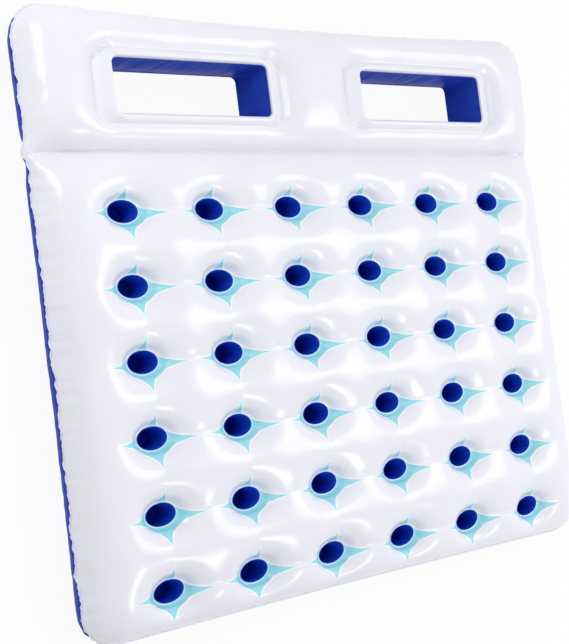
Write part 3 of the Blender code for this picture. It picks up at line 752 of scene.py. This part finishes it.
def seamWave(x, along, total):
    wave = seam["wave"] * periodicWave(along, total, seam["waves"], 77)
    count = int(round(total / seam["spikeSpacing"]))
    random = np.random.default_rng(78)
    place = (np.arange(count) + random.uniform(-0.4, 0.4, count)) * total / count
    size = random.uniform(-1.0, 1.0, count) * seam["spike"]
    width = random.uniform(*seam["spikeWidth"], count) * mm
    for at, tall, wide in zip(place, size, width):
        gap = np.abs((along - at + total / 2) % total - total / 2)
        wave = wave + tall * np.exp(-gap / wide)
    return wave * (seam["endShare"] + (1 - seam["endShare"]) * onSide(x))


def addMesh(name, points, faces, material):
    mesh = bpy.data.meshes.new(name)
    mesh.from_pydata(points.tolist(), [], faces.tolist())
    mesh.update()
    mesh.shade_smooth()
    mesh.materials.append(material)
    piece = bpy.data.objects.new(name, mesh)
    bpy.context.scene.collection.objects.link(piece)
    return piece


# A tube through rings of points; closed, its last ring also joins the first.
def addTube(name, rings, material, closed=False):
    grid = np.arange(len(rings) * len(rings[0])).reshape(len(rings), -1)
    if closed:
        grid = np.concatenate([grid, grid[:1]])
    turned = np.roll(grid, -1, 1)
    faces = np.stack([grid[:-1], turned[:-1], turned[1:], grid[1:]], -1).reshape(-1, 4)
    return addMesh(name, np.concatenate(rings), faces, material)


def dressWall(name, rings, body, material):
    piece = addTube(name + "_wall", rings, material)
    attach(piece, body)
    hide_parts(name)


# Folds at the top and at the foot of a wall, along its edge.
def wallFolds(along, total, look, seeds):
    spacing = total / look["folds"]
    return [darts(along, 0 * along, total, spacing, 1.0, 1.0, seed, look["foldWidth"]) for seed in seeds]


# The film lies flat under each valve's flange, where the frame's valve sits
valveSeat = {
    "underFlange": 1.5 * mm,
    "flat": 16 * mm,
    "fade": 34 * mm,
    "depth": 45 * mm,
}


def seatValves(points):
    for host in ("bed", "pillow"):
        base = frame["nodes"][host + "_valve_base"]
        normal = np.array(frameJoint(host + "_stem_pull")["axis"], float)
        corners = np.array([vertex.co for vertex in base.data.vertices])
        middle = corners.mean(0)
        rise = (corners @ normal).max() - middle @ normal - valveSeat["underFlange"]
        offset = points - middle - normal * rise
        height = offset @ normal
        radial = np.linalg.norm(offset - height[:, None] * normal, axis=1)
        flat = 1.0 - smoothStep((radial - valveSeat["flat"]) / valveSeat["fade"])
        weight = flat * (np.abs(height) < valveSeat["depth"])
        points = points - normal * (height * weight)[:, None]
    return points


# Gives each face corner its place from its pocket's centre, for the print, and 1 on the pillow.
def placePrint(film, flat, quads):
    corners = flat[quads.ravel()]
    centres = np.repeat(flat[quads].mean(1), 4, axis=0)
    place = corners - centres + np.stack(cellPlace(*centres.T), 1)
    place = np.column_stack([place, corners[:, 1] > creaseY])
    attribute = film.data.attributes.new("cellPlace", "FLOAT_VECTOR", "CORNER")
    attribute.data.foreach_set("vector", place.astype(np.float32).ravel())


def makeFilm(name, upper, seed, material):
    flat, quads = sheetMesh(*filmCells(closed=not upper))
    x, y = flat.T
    away, along, total = edgePlace(x, y)
    roundX, roundY = roundCorners(x, y)
    z = filmZ(blowFilm(upper), roundX, roundY, upper)
    wave = seamWave(x, along, total) * np.exp(-np.maximum(away, 0) / seam["waveReach"])
    points = np.stack([*drawIn(roundX, roundY), z + wave], 1)
    if not upper:
        quads = quads[:, ::-1]
    lift = np.where(away < seam["still"], 0.0, filmPuckers(x, y, seed))
    points += vertexNormals(points, quads) * lift[:, None]
    if not upper:
        u, v = cellPlace(x, y)
        inPocket = (np.hypot(u / mouthX, v / mouthY) <= 1.0) & (y < creaseY)
        points = seatValves(points)
        offFloor = np.maximum(points[:, 2], 0.2 * mm)
        points[:, 2] = np.where(inPocket, pocket["lift"], offFloor)
    film = addMesh(name, points, quads, material)
    if upper:
        placePrint(film, flat, quads)
    return film


# The weld's line: the films' own border points and the middles between them, so that all stay closed.
def seamPath():
    xs, ys = filmLines()[:2]
    corners = latticePoints(xs, ys, blockBorder(0, len(xs) - 1, 0, len(ys) - 1))
    middles = (corners + np.roll(corners, -1, 0)) / 2
    return np.stack([corners, middles], 1).reshape(-1, 2)


def makeSeam(material):
    x, y = seamPath().T
    along, total = edgePlace(x, y)[1:]
    centre = np.stack([*drawIn(*roundCorners(x, y)), seamZ + seamWave(x, along, total)], 1)
    centre[1::2] = (centre[0::2] + np.roll(centre[0::2], -1, 0)) / 2
    tangent = np.roll(centre, -1, 0) - np.roll(centre, 1, 0)
    outward = np.stack([tangent[:, 1], -tangent[:, 0], 0 * along], 1)
    outward /= np.linalg.norm(outward, axis=1, keepdims=True)
    least, added = seam["unevenness"]
    wobble = (least + added * onSide(x)) * periodicWave(along, total, seam["unevenWaves"], 31)
    lines = []
    for angle in fullTurn * np.arange(seam["facets"]) / seam["facets"]:
        reach = seam["halfWidth"] * (1.0 + wobble) * (1 + math.cos(angle)) - seam["overlap"]
        up = (0, 0, seam["halfThick"] * math.sin(angle))
        lines.append(centre + outward * reach[:, None] + up)
    return addTube("perimeter_weld", lines, material, closed=True)


# Walls of the pockets: gathered tubes of film from a mouth to the pocket's floor
sleeve = {
    "sides": 96,
    "steps": 22,
    # The wall's edge turned over the mouth: share of the mouth, height over the film
    "rim": ((1.035, 0.25 * mm), (1.012, 0.75 * mm), (0.985, 0.35 * mm), (0.972, -1.2 * mm)),
    "bow": 0.13,  # how far the air bows the wall into the pocket, as a share of its half width
    "footSpread": 0.02,
    "folds": 17,
    "foldWidth": 0.2,
    "foldDepth": 3.0 * mm,
    "lean": 1.5,  # mm, sideways at mid height
}


def makeSleeve(row, column, material):
    name = f"pocket_sleeve_r{row + 1}c{column + 1}"
    centre = np.array([columnX[column], rowY[row]])
    random = np.random.default_rng(500 + row * columnCount + column)
    angle = fullTurn * np.arange(sleeve["sides"]) / sleeve["sides"]
    oval = mouthOval(angle)
    rimZ = mouthZ(*(centre + oval).T) + weldThickness
    around = fullTurn * mouthX
    seeds = [random.integers(1e6) for _ in range(2)]
    foldTop, foldLow = wallFolds(angle / fullTurn * around, around, sleeve, seeds)
    lean = random.uniform(-sleeve["lean"], sleeve["lean"], 2) * mm
    rings = [np.column_stack([centre + oval * share, rimZ + up]) for share, up in sleeve["rim"]]
    rimShare, rimUp = sleeve["rim"][-1]
    top = rimZ + rimUp
    for step in range(1, sleeve["steps"] + 1):
        down = step / sleeve["steps"]
        arch = math.sin(math.pi * down)
        fold = foldTop * (1 - down) ** 0.6 + foldLow * down ** 0.6
        deep = sleeve["foldDepth"] * fold * math.sin(math.pi * min(1.0, down * 1.02 + 0.03)) ** 0.45
        share = rimShare * (1 - sleeve["bow"] * arch ** 0.8) + deep / mouthX
        share = share + sleeve["footSpread"] * down
        z = top + (pocket["lift"] - top) * down
        rings.append(np.column_stack([centre + oval * share[:, None] + lean * arch, z]))
    dressWall(name, rings, "bed", material)


# Linings of the windows: bands of film that tie the two films of the pillow
lining = {
    "sides": 240,
    "steps": 26,
    "tuck": ((0.9 * mm, 2.0 * mm), (1.3 * mm, 3.5 * mm)),  # in from a rim, and past it
    "bow": 6 * mm,
    "folds": 46,
    "foldWidth": 0.22,
    "foldDepth": 2.4 * mm,
    "waves": np.array([260, 120, 75]) * mm,
    "waveDepth": 1.6 * mm,
    "ripple": 1.2 * mm,
    "rippleLength": 34 * mm,
}


def makeLining(name, side, seed, material):
    sides, steps = lining["sides"], lining["steps"]
    k = np.arange(sides)
    part, edge = np.modf(k / sides * 4)
    edge = edge.astype(int)
    walk = 2 * part - 1
    square = np.stack([walk, np.ones(sides), -walk, -np.ones(sides)])
    p, q = square[edge, k], square[edge - 1, k]
    ring = roundedPoints(p, q, openX, openY, window["corner"])
    tangent = np.roll(ring, -1, 0) - np.roll(ring, 1, 0)
    inward = np.stack([-tangent[:, 1], tangent[:, 0]], 1)
    inward /= np.linalg.norm(inward, axis=1, keepdims=True)
    length = np.linalg.norm(np.roll(ring, -1, 0) - ring, axis=1)
    along = np.concatenate([[0], np.cumsum(length)[:-1]])
    total = length.sum()
    foldTop, foldLow = wallFolds(along, total, lining, (seed, seed + 1))
    wave = lining["waveDepth"] * periodicWave(along, total, lining["waves"], seed + 2)
    inset, past = lining["tuck"][-1]
    topZ, lowZ = window["rimZ"] - past, window["underRimZ"] + past
    levels = [(inside, window["rimZ"] - down) for inside, down in lining["tuck"]]
    for step in range(1, steps):
        down = step / steps
        arch = math.sin(math.pi * down)
        fold = foldTop * (1 - down) ** 0.8 + foldLow * down ** 0.8
        inside = inset + (lining["bow"] + wave) * arch ** 1.5 + lining["foldDepth"] * fold * arch ** 0.4
        ripple = lining["ripple"] * np.sin(along / lining["rippleLength"] + 5 * down) * arch
        levels.append((inside, topZ + (lowZ - topZ) * down + ripple))
    levels += [(inside, window["underRimZ"] + up) for inside, up in lining["tuck"][::-1]]
    rim = np.array([side * windowX, windowY]) + ring
    rings = [
        np.column_stack([rim + inward * np.reshape(inside, (-1, 1)), np.broadcast_to(z, sides)])
        for inside, z in levels]
    dressWall(name, rings, "pillow", material)


# Fills a node's inputs: a node gives its first live output, a socket is linked, a value is set.
def setInputs(node, inputs):
    for key, value in inputs.items() if isinstance(inputs, dict) else enumerate(inputs):
        if isinstance(value, bpy.types.Node):
            value = next(socket for socket in value.outputs if socket.enabled)
        if isinstance(value, bpy.types.NodeSocket):
            node.id_data.links.new(value, node.inputs[key])
        else:
            node.inputs[key].default_value = value


def addNode(tree, kind, inputs=(), **settings):
    node = tree.nodes.new("ShaderNode" + kind)
    for name, value in settings.items():
        setattr(node, name, value)
    setInputs(node, inputs)
    return node


def newMaterial(name):
    material = bpy.data.materials.new(name)
    material.use_nodes = True
    tree = material.node_tree
    return material, partial(addNode, tree), tree.nodes["Principled BSDF"]


# Clouds of a given size, and two colours that they mix.
def addClouds(add, at, size, first, second, detail=3.0):
    cloud = add("TexNoise", {"Vector": at, "Scale": 1 / size, "Detail": detail})
    mixed = {0: cloud, 6: linearColour(first), 7: linearColour(second)}
    return cloud, add("Mix", mixed, data_type="RGBA")


# (u / reachU) ** power + (v / reachV) ** power: 1 on an oval at power 2, on a star's arms below 1.
def addPowers(add, u, v, reachU, reachV, power):
    terms = []
    for place, reach in ((u, reachU), (v, reachV)):
        share = add("Math", [add("Math", [place, reach], operation="DIVIDE")], operation="ABSOLUTE")
        terms.append(add("Math", [share, power], operation="POWER"))
    return add("Math", terms, operation="ADD")


whiteVinyl = {
    "colour": "#F6F5FA",
    "shade": "#EEEDF5",
    "keyline": "#FFFFFF",
    "star": "#A2EAF2",
    "starDeep": "#96E2EC",
    "ring": "#E2F8FF",
    "starReachX": 119 * mm,
    "starReachY": 68 * mm,
    "starToFoot": 8 * mm,  # the print sits a little off the mouths
    "starPower": 0.58,
    "starBody": 1.23,
    "starBlend": 0.22,
    "keylineReach": 1.07,
    "ringWidth": 3.6 * mm,
    "roughness": 0.17,
    "inkRoughness": 0.08,
    "wear": 0.08,
    "cloud": 143 * mm,
    "inkGrain": 3 * mm,
    "grain": 1.1 * mm,
    "crinkle": 34 * mm,
}


# Calendered white PVC film, blown tight: an even satin gloss with faint crinkles, screen printed
# with turquoise stars whose ink is a little duller than the film.
def whiteVinylFilm():
    look = whiteVinyl
    material, add, shader = newMaterial("calenderedWhiteVinyl")
    place = add("Attribute", attribute_name="cellPlace").outputs["Vector"]
    u, v, onPillow = add("SeparateXYZ", [place]).outputs
    onBed = add("Math", [onPillow, 0.5], operation="LESS_THAN")
    starV = add("Math", [v, look["starToFoot"]], operation="ADD")
    arms = addPowers(add, u, starV, look["starReachX"], look["starReachY"], look["starPower"])
    bodyX, bodyY = look["starBody"] * mouthX, look["starBody"] * mouthY
    body = add("Math", [addPowers(add, u, starV, bodyX, bodyY, 2.0)], operation="SQRT")
    star = add("Math", [arms, body, look["starBlend"]], operation="SMOOTH_MIN")
    ringX, ringY = mouthX + look["ringWidth"], mouthY + look["ringWidth"]
    ring = addPowers(add, u, v, ringX, ringY, 2.0)
    at = add("TexCoord").outputs["Object"]
    cloud, base = addClouds(add, at, look["cloud"], look["colour"], look["shade"])
    turquoise = addClouds(add, at, look["inkGrain"], look["star"], look["starDeep"], 2.0)[1]
    masks = []
    paints = (linearColour(look["keyline"]), turquoise, linearColour(look["ring"]))
    for shape, reach, paint in zip((star, star, ring), (look["keylineReach"], 1.0, 1.0), paints):
        inside = add("Math", [shape, reach], operation="LESS_THAN")
        masks.append(add("Math", [inside, onBed], operation="MULTIPLY"))
        base = add("Mix", {0: masks[-1], 6: base, 7: paint}, data_type="RGBA")
    inked = add("Math", masks[1:], operation="MAXIMUM")
    rough = add("Math", [cloud, look["wear"], look["roughness"]], operation="MULTIPLY_ADD")
    rough = add("Math", [inked, look["inkRoughness"], rough], operation="MULTIPLY_ADD")
    grain = add("TexNoise", {"Vector": at, "Scale": 1 / look["grain"], "Detail": 2.0})
    crinkle = add("TexNoise", {"Vector": at, "Scale": 1 / look["crinkle"], "Detail": 2.0})
    bump = add("Bump", {"Height": grain, "Strength": 0.10, "Distance": 0.15 * mm})
    bump = add("Bump", {"Height": crinkle, "Strength": 0.14, "Distance": 1.2 * mm, "Normal": bump})
    setInputs(shader, {"Base Color": base, "Roughness": rough, "IOR": 1.53, "Normal": bump})
    return material


# Two colours, roughness, size of the crinkles, and mirror
plainVinyls = {
    "calenderedBlueVinyl": ("#0A2DA4", "#0F3AC0", 0.34, 18 * mm, 0.01),
    "calenderedBlueLiningVinyl": ("#2144B4", "#355AC8", 0.30, 24 * mm, 0.01),
    "calenderedBlueSleeveVinyl": ("#0F36B4", "#1C50D8", 0.24, 12 * mm, 0.15),
    "weldedEdgeVinyl": ("#E6E7F7", "#F6F6FC", 0.30, 9 * mm, 0.4),
}


# Calendered PVC film without print, slack enough to crinkle. The blue is deep and even with hardly
# any mirror, so that the white floor doesn't wash it out; the welded edge is white and glossier.
def plainVinylFilm(name):
    deep, light, roughness, crinkleSize, mirror = plainVinyls[name]
    material, add, shader = newMaterial(name)
    at = add("TexCoord").outputs["Object"]
    cloud, base = addClouds(add, at, 83 * mm, deep, light)
    rough = add("Math", [cloud, 0.08, roughness], operation="MULTIPLY_ADD")
    noise = {"Vector": at, "Scale": 1 / crinkleSize, "Detail": 3.0, "Distortion": 0.8}
    bump = add("Bump", {"Height": add("TexNoise", noise), "Strength": 0.35, "Distance": 1.5 * mm})
    setInputs(shader, {"Base Color": base, "Roughness": rough, "IOR": 1.53, "Normal": bump})
    shader.inputs["Specular IOR Level"].default_value = mirror
    return material


# Clear moulded soft vinyl of the valves: milky, with soft wet highlights.
def clearVinyl():
    material, add, shader = newMaterial("mouldedClearVinyl")
    at = add("TexCoord").outputs["Object"]
    cloud, base = addClouds(add, at, 4 * mm, "#DDE4EC", "#C9D3DE", 2.0)
    bump = add("Bump", {"Height": cloud, "Strength": 0.1, "Distance": 0.2 * mm})
    setInputs(shader, {"Base Color": base, "Roughness": 0.28, "IOR": 1.52, "Normal": bump})
    shader.inputs["Transmission Weight"].default_value = 0.35
    return material


def dressMattress():
    white = whiteVinylFilm()
    under, liningBlue, sleeveBlue, weldWhite = (plainVinylFilm(name) for name in plainVinyls)
    topFilm = makeFilm("mattress_top_film", True, 100, white)
    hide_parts("bed_top_sheet", "pillow_top_sheet", "pillow_crease_weld")
    underFilm = makeFilm("mattress_under_film", False, 200, under)
    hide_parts("bed_bottom_sheet", "pillow_bottom_sheet")
    weld = makeSeam(weldWhite)
    for piece in (topFilm, underFilm, weld):
        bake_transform(piece)
    print("films done, highest point", round(max(v.co.z for v in topFilm.data.vertices), 4))
    for row, column in np.ndindex(rowCount, columnCount):
        makeSleeve(row, column, sleeveBlue)
    makeLining("window_lining_left", -1, 900, liningBlue)
    makeLining("window_lining_right", 1, 950, liningBlue)
    print("sleeves and linings done")
    clear = clearVinyl()
    for name, node in frame["nodes"].items():
        if "valve" in name:
            node.data.materials.clear()
            node.data.materials.append(clear)
            node.data.shade_smooth()
    print("valves done")


# Studio: the camera at the photograph's angle, soft lamps, an even room and a pale floor
camera = {
    "place": (-2.4746, -0.1810, 2.8556),
    "aim": (-0.1749, -0.0462, 0.100),
    "roll": 7.240,  # degrees, up leaning to the right
    "lens": 78.26,  # mm on a 36 mm long side
}


def aimCamera(scene):
    lens = bpy.data.cameras.new("camera")
    lens.lens = camera["lens"]
    eye = bpy.data.objects.new("camera", lens)
    scene.collection.objects.link(eye)
    place, aim = Vector(camera["place"]), Vector(camera["aim"])
    forward = (aim - place).normalized()
    up = Vector((0, 1, 0)) - forward * forward.y
    up.normalize()
    right = forward.cross(up)
    roll = math.radians(camera["roll"])
    tilted = up * math.cos(roll) + right * math.sin(roll)
    turn = Matrix((forward.cross(tilted), tilted, -forward)).transposed()
    eye.matrix_world = Matrix.Translation(place) @ turn.to_4x4()
    scene.camera = eye


# Place, width and height, and power
lamps = {
    "key": ((2.7, 0.25, 3.0), (1.4, 1.6), 19.0),
    "headStrip": ((1.65, 0.45, 3.0), (0.9, 0.5), 5.0),
    "footStrip": ((1.2, -1.9, 2.9), (1.2, 0.35), 13.0),
    "fill": ((-1.9, 1.3, 1.5), (0.95, 0.95), 12.0),
}


def addLamps(scene):
    for name, (place, size, power) in lamps.items():
        light = bpy.data.lights.new(name, "AREA")
        light.shape = "RECTANGLE"
        light.size, light.size_y = size
        light.energy = power
        lamp = bpy.data.objects.new(name, light)
        scene.collection.objects.link(lamp)
        lamp.location = place
        lamp.rotation_euler = (-Vector(place)).to_track_quat("-Z", "Y").to_euler()


# How far a ray is one that looks at the background: from the eye, off a gloss or through a glass.
def lookingRays(add):
    rays = add("LightPath").outputs
    indirect = add("Math", [rays["Is Glossy Ray"], rays["Is Transmission Ray"]], operation="ADD")
    return add("Math", [rays["Is Camera Ray"], indirect], operation="ADD", use_clamp=True)


# The room is brighter from above and from the mattress's right
room = {
    "colour": "#F4F5FA",
    "brightWay": (0.55, 0.30, 0.78),
    "dim": 0.49,
    "bright": 0.80,
}


def lightRoom(scene):
    world = bpy.data.worlds.new("studio")
    scene.world = world
    world.use_nodes = True
    nodes = world.node_tree.nodes
    add = partial(addNode, world.node_tree)
    way = add("TexCoord").outputs["Generated"]
    toward = add("VectorMath", [way, room["brightWay"]], operation="DOT_PRODUCT").outputs["Value"]
    levels = {"Value": toward, "From Min": -1.0, "To Min": room["dim"], "To Max": room["bright"]}
    level = add("MapRange", levels, interpolation_type="SMOOTHSTEP")
    setInputs(nodes["Background"], {"Color": linearColour(room["colour"]), "Strength": level})
    plain = add("Background", {"Color": (1, 1, 1, 1)})
    shown = add("MixShader", [lookingRays(add), nodes["Background"], plain])
    setInputs(nodes["World Output"], [shown])


studioFloor = {
    "colour": "#FAFAFC",
    "roughness": 0.9,
    "glow": 0.93,  # what the eye sees of it is nearly plain white, and keeps a faint shadow
    "half": 14.0,
    "drop": 1 * mm,
}


# Matt painted floor, plain white to the eye.
def layFloor():
    material, add, shader = newMaterial("paintedPaleFloor")
    colour = linearColour(studioFloor["colour"])
    setInputs(shader, {"Base Color": colour, "Roughness": studioFloor["roughness"]})
    glow = add("Emission", {"Color": (1, 1, 1, 1)})
    seen = add("Math", [lookingRays(add), studioFloor["glow"]], operation="MULTIPLY")
    shown = add("MixShader", [seen, shader, glow])
    setInputs(material.node_tree.nodes["Material Output"], [shown])
    half, z = studioFloor["half"], -studioFloor["drop"]
    corners = np.array([(-half, -half, z), (half, -half, z), (half, half, z), (-half, half, z)])
    addMesh("floor", corners, np.array([[0, 1, 2, 3]]), material)


def makeStudio():
    scene = bpy.context.scene
    aimCamera(scene)
    addLamps(scene)
    lightRoom(scene)
    layFloor()
    scene.view_settings.view_transform = "Standard"
    print("studio done")


dressMattress()
makeStudio()
